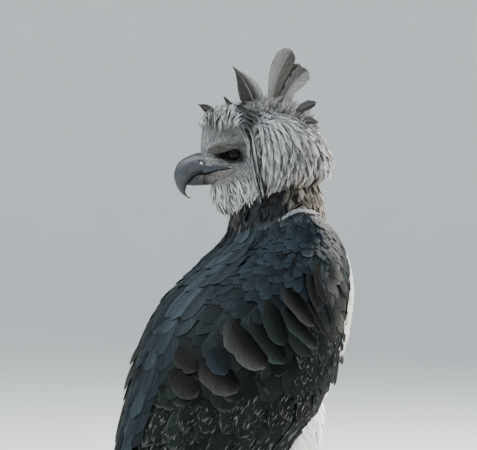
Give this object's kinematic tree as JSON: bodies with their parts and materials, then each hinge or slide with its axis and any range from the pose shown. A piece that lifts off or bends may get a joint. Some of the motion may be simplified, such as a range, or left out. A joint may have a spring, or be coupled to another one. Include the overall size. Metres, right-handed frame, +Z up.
{
  "type": "harpy eagle",
  "caption": "Life-size still model of a harpy eagle standing with folded wings, its crest raised and its head turned back over the left shoulder.",
  "frame": {"origin": "middle of the bottom of the whole bird's box, on the floor plane", "axes": "+X the way the body faces, +Y its left, +Z up"},
  "size_m": [0.4494, 0.2978, 0.8905],
  "materials": {
    "belly": "soft white feathers with fine dark bars on the thighs",
    "collar": "soft black feathers",
    "grey_head": "soft ash grey feathers with dark shafts and pale edges",
    "flight": "slate black feathers with a faint blue sheen and pale edges",
    "bill": "smooth slate horn, glossy, darker at the hook",
    "eye": "wet dark brown iris and black pupil",
    "foot_skin": "yellow scaly skin",
    "claw": "polished black horn"
  },
  "bodies": {
    "root": {"torso": "belly", "neck": "collar", "head": "grey_head", "upper_bill": "bill", "lower_bill": "bill", "tail": "flight", "eye_left": "eye", "wing_left": "flight", "thigh_left": "belly", "shank_left": "foot_skin", "toe_inner_left": "foot_skin", "toe_middle_left": "foot_skin", "toe_outer_left": "foot_skin", "toe_hind_left": "foot_skin", "claw_inner_left": "claw", "claw_middle_left": "claw", "claw_outer_left": "claw", "claw_hind_left": "claw", "eye_right": "eye", "wing_right": "flight", "thigh_right": "belly", "shank_right": "foot_skin", "toe_inner_right": "foot_skin", "toe_middle_right": "foot_skin", "toe_outer_right": "foot_skin", "toe_hind_right": "foot_skin", "claw_inner_right": "claw", "claw_middle_right": "claw", "claw_outer_right": "claw", "claw_hind_right": "claw"}
  },
  "joints": []
}
